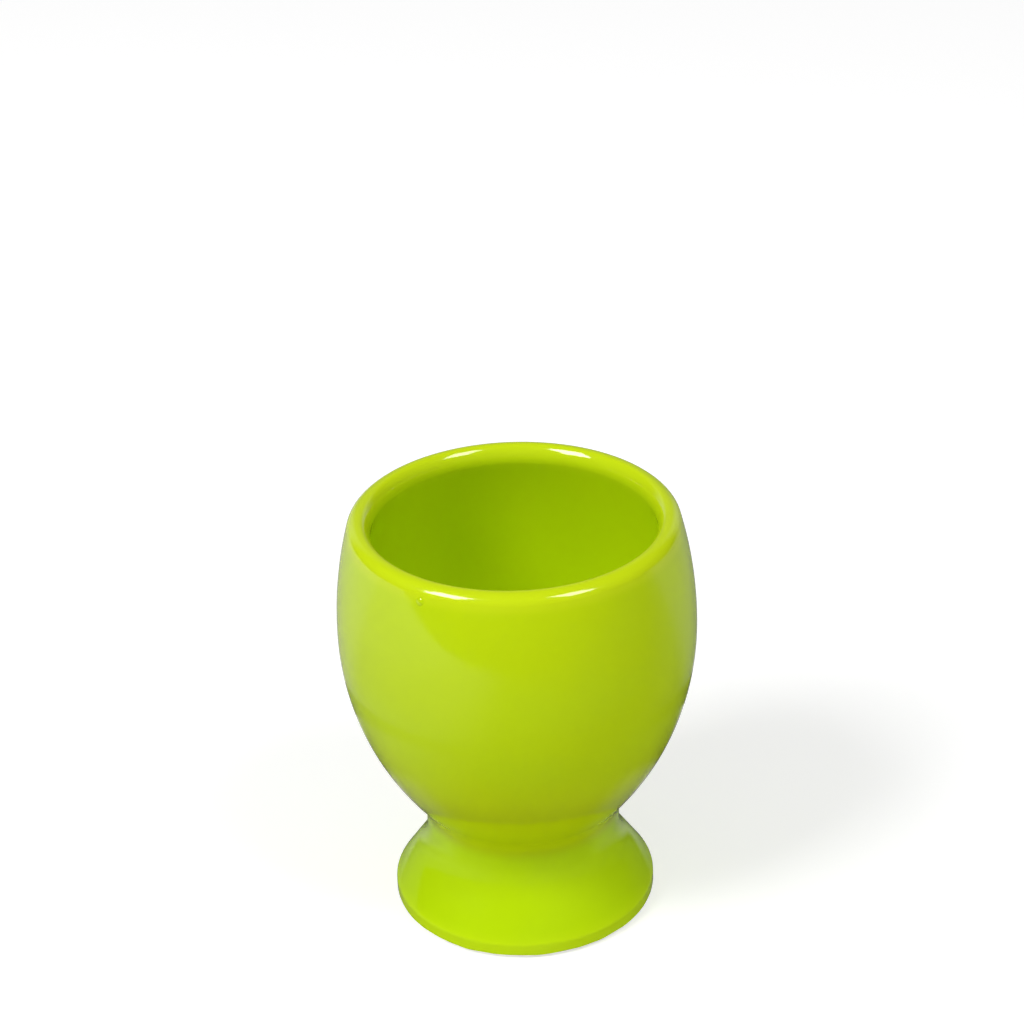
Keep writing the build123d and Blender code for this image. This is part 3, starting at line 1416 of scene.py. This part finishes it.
@dataclass(frozen=True)
class ReflectionCard:
    """Glowing sheet on the floor, seen only in mirror rays, that paints the glaze's reflections: bright
    on the left and close behind the foot, dark in front.
    """

    ground: Ground
    dimmest: float = 0.012
    near_left: Fade = Fade(-0.01, -0.075, 0.02, 0.3)
    mid_left: Fade = Fade(-0.07, -0.16, 0.0, 0.16)
    far_left: Fade = Fade(-0.17, -0.27, 0.0, 0.05)
    left_front: Fade = Fade(-0.178, -0.164)
    right: Fade = Fade(0.02, 0.12, 0.0, 0.15)
    right_front: Fade = Fade(-0.04, 0.05)
    # Close glow round the foot, which paints the small glints on the foot's shoulders
    close_reach: Fade = Fade(0.03, 0.038, 1.0, 0.0)
    close_back: Fade = Fade(0.008, 0.018, 0.15, 0.35)
    close_front: Fade = Fade(-0.016, -0.002)
    close_aside: Fade = Fade(0.015, 0.024)
    behind: Fade = Fade(0.02, 0.05, 0.0, 0.17)
    middle: Fade = Fade(0.03, 0.05, 0.45, 0.0)
    middle_behind: Fade = Fade(0.025, 0.045)

    def build(self) -> None:
        """Make the card."""
        material, bench, strength = glowing("reflection_card")
        spot = bench.axes(bench.own_place())
        parts = (self._sides(bench, spot), self._round_foot(bench, spot), self._behind(bench, spot))
        bench.feed(strength, bench.chain("ADD", *parts, self.dimmest))
        only_mirrored(turned_sheet("reflection_card", self.ground.rims(self.ground.drop), material))

    def _sides(self, bench: NodeBench, spot: bpy.types.NodeOutputs) -> Socket:
        """Painted reflection: glow to the left and to the right of the cup.

        Args:
            bench: The material's tree.
            spot: Place on the card.

        Returns:
            The brightness.
        """
        fades = (self.near_left, self.mid_left, self.far_left)
        left = bench.chain("ADD", *(bench.fade(spot["X"], fade) for fade in fades))
        left = bench.sum("MULTIPLY", left, bench.fade(spot["Y"], self.left_front))
        right = bench.fade(spot["X"], self.right)
        right = bench.sum("MULTIPLY", right, bench.fade(spot["Y"], self.right_front))
        return bench.sum("ADD", left, right)

    def _round_foot(self, bench: NodeBench, spot: bpy.types.NodeOutputs) -> Socket:
        """Painted glints: glow close round the back of the foot, apart from its middle.

        Args:
            bench: The material's tree.
            spot: Place on the card.

        Returns:
            The brightness.
        """
        squares = (bench.sum("POWER", spot["X"], 2.0), bench.sum("POWER", spot["Y"], 2.0))
        reach = bench.sum("SQRT", bench.sum("ADD", *squares))
        return bench.chain(
            "MULTIPLY",
            bench.fade(reach, self.close_reach),
            bench.fade(spot["Y"], self.close_back),
            bench.fade(spot["Y"], self.close_front),
            bench.fade(bench.sum("ABSOLUTE", spot["X"]), self.close_aside),
        )

    def _behind(self, bench: NodeBench, spot: bpy.types.NodeOutputs) -> Socket:
        """Painted reflection: glow behind the cup, brightest in the middle.

        Args:
            bench: The material's tree.
            spot: Place on the card.

        Returns:
            The brightness.
        """
        middle = bench.fade(bench.sum("ABSOLUTE", spot["X"]), self.middle)
        middle = bench.sum("MULTIPLY", middle, bench.fade(spot["Y"], self.middle_behind))
        return bench.sum("ADD", bench.fade(spot["Y"], self.behind), middle)


@dataclass(frozen=True)
class DarkReflectionWall:
    """Low dim glowing wall, seen only in mirror rays, that paints a dark reflection round the foot in
    place of the far table.
    """

    ground: Ground
    reach: float = 0.055
    height: float = 0.0085
    left: Fade = Fade(-0.01, -0.055, 0.03, 0.14)
    middle: Fade = Fade(0.024, 0.04, 0.4, 0.03)
    behind: Fade = Fade(0.0, 0.04)

    def build(self) -> None:
        """Make the wall."""
        material, bench, strength = glowing("dark_reflection_wall")
        spot = bench.axes(bench.own_place())
        middle = bench.fade(bench.sum("ABSOLUTE", spot["X"]), self.middle)
        back = bench.sum("MULTIPLY", middle, bench.fade(spot["Y"], self.behind))
        bench.feed(strength, bench.sum("ADD", bench.fade(spot["X"], self.left), back))
        rims = [(self.reach, self.ground.drop), (self.reach, self.height)]
        only_mirrored(turned_sheet("dark_reflection_wall", rims, material))


@dataclass(frozen=True)
class Room:
    """Room that lights the cup most from the front, shows dim in the glaze and is white to the camera."""

    white: Colour = (1.0, 1.0, 1.0)
    front_glow: Colour = (0.35, 0.35, 0.35)
    back_glow: Colour = (0.18, 0.18, 0.18)
    front_shade: Colour = (0.012, 0.012, 0.012)
    back_shade: Colour = (0.15, 0.15, 0.15)
    side_shade: Colour = (0.6, 0.6, 0.6)
    below_shade: Colour = (0.5, 0.5, 0.5)
    depth: Fade = Fade(-0.9, 0.9)
    behind: Fade = Fade(0.6, 0.85)
    aside: Fade = Fade(0.25, 0.5)
    below: Fade = Fade(-0.02, -0.12)

    def build(self) -> None:
        """Make the world."""
        world = bpy.data.worlds.new("room")
        world.use_nodes = True
        bench = NodeBench(world.node_tree)
        way = bench.axes(bench.node("ShaderNodeTexCoord").outputs["Generated"])
        aside = bench.fade(bench.sum("ABSOLUTE", way["X"]), self.aside)
        walls = bench.blend(aside, self.back_shade, self.side_shade)
        mirrored = bench.blend(bench.fade(way["Y"], self.behind), self.front_shade, walls)
        glow = bench.blend(bench.fade(way["Y"], self.depth), self.front_glow, self.back_glow)
        path = bench.node("ShaderNodeLightPath").outputs
        room = bench.blend(path["Is Diffuse Ray"], mirrored, glow)
        shade = bench.blend(bench.fade(way["Z"], self.below), room, self.below_shade)
        seen = bench.blend(path["Is Camera Ray"], shade, self.white)
        bench.feed(world.node_tree.nodes["Background"].inputs["Color"], seen)
        bpy.context.scene.world = world


@dataclass(frozen=True)
class ViewCamera:
    """Camera at the photograph's viewing angle."""

    lens: float = 99.157
    sensor: float = 36.0
    place: Place = (-0.000218, -0.350346, 0.253602)
    pitch: float = 28.465
    roll: float = -1.863

    def build(self) -> None:
        """Make the camera and look through it."""
        data = bpy.data.cameras.new("camera")
        data.lens = self.lens
        data.sensor_width = self.sensor
        camera = bpy.data.objects.new("camera", data)
        tilt = Matrix.Rotation(math.radians(90 - self.pitch), 4, "X")
        roll = Matrix.Rotation(math.radians(self.roll), 4, "Z")
        camera.matrix_world = Matrix.Translation(self.place) @ tilt @ roll
        bpy.context.scene.collection.objects.link(camera)
        bpy.context.scene.camera = camera


@dataclass(frozen=True)
class Studio:
    """Floor, glowing cards that paint reflections, light and camera."""

    ground: Ground = Ground()
    left: Softbox = Softbox(
        "softbox_left",
        LampSide.LEFT,
        azimuth=56.0,
        elevation=46.5,
        brightness=12.2,
        width=0.44,
        height=0.49,
    )
    right: Softbox = Softbox(
        "softbox_right",
        LampSide.RIGHT,
        azimuth=50.0,
        elevation=53.0,
        brightness=7.9,
        width=0.36,
        height=0.46,
    )

    def build(self) -> None:
        """Make the whole studio."""
        bpy.context.scene.view_settings.view_transform = "Standard"
        PaperFloor(self.ground).build()
        ReflectionCard(self.ground).build()
        DarkReflectionWall(self.ground).build()
        Room().build()
        self.left.build()
        self.right.build()
        ViewCamera().build()


def main() -> None:
    """Build and dress the cup and set it in its studio."""
    logging.basicConfig(level=logging.INFO)
    profile = CupProfile()
    marks = KilnMarks()
    wheel = TurningWheel()
    glaze = GlazeFinish().material(marks)
    clay = ClayFinish().material(marks)
    slip = ClayFinish(Slot.SLIP, pale=(0.74, 0.69, 0.6), warm=(0.66, 0.6, 0.5)).material(marks)
    ClayCore().dress(clay, slip)
    GlazeCoat(profile).build(wheel, glaze)
    GlazeNib(profile).build(glaze)
    HollowCoat(profile).build(wheel, glaze)
    Studio().build()


if __name__ == "__main__":
    main()
